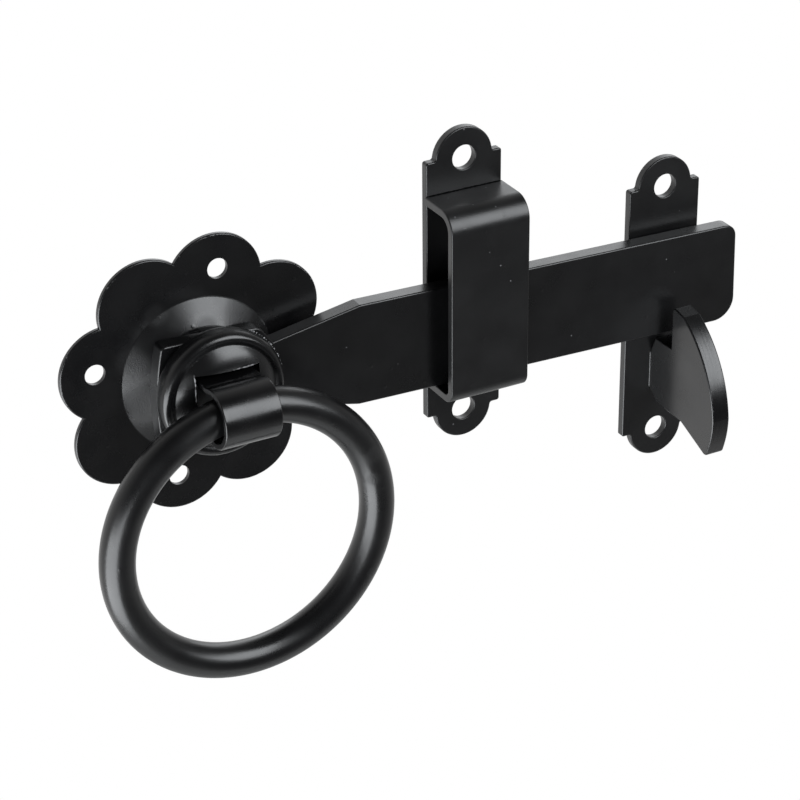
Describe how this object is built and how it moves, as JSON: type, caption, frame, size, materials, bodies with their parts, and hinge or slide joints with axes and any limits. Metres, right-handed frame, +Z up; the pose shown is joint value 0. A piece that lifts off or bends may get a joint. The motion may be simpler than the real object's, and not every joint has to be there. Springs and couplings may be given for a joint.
{
  "type": "ring-handle gate latch set",
  "caption": "Scalloped rose with a hanging ring handle and a lifting flat bar, a strap keeper and a hooked catch for a side gate.",
  "frame": {"origin": "where the spindle's axis meets the gate face, behind the middle of the rose", "axes": "+X along the latch bar towards the catch, +Z up, -Y out of the gate towards the user"},
  "size_m": [0.2231, 0.0376, 0.1441],
  "materials": {
    "black_coat": "satin black epoxy powder coat on mild steel",
    "plain_steel": "plain bright mild steel"
  },
  "bodies": {
    "root": {"rose_plate": "black_coat", "keeper_plate": "black_coat", "keeper_staple": "black_coat", "catch_plate": "black_coat", "catch_hook": "black_coat"},
    "latch": {"latch_bar": "black_coat", "spindle_boss": "black_coat", "ring_clip": "black_coat", "clip_pin": "black_coat", "spindle": "plain_steel", "back_washer": "plain_steel"},
    "ring": {"handle_ring": "black_coat"}
  },
  "joints": [
    {"name": "latch_lift", "type": "hinge", "parent": "root", "child": "latch", "pos_m": [0, 0, 0], "axis": [0, -1, 0], "range_deg": [0, 13]},
    {"name": "ring_swing", "type": "hinge", "parent": "latch", "child": "ring", "pos_m": [0.002, -0.028, 0.0006], "axis": [-1, 0, 0], "range_deg": [-16, 90]}
  ]
}
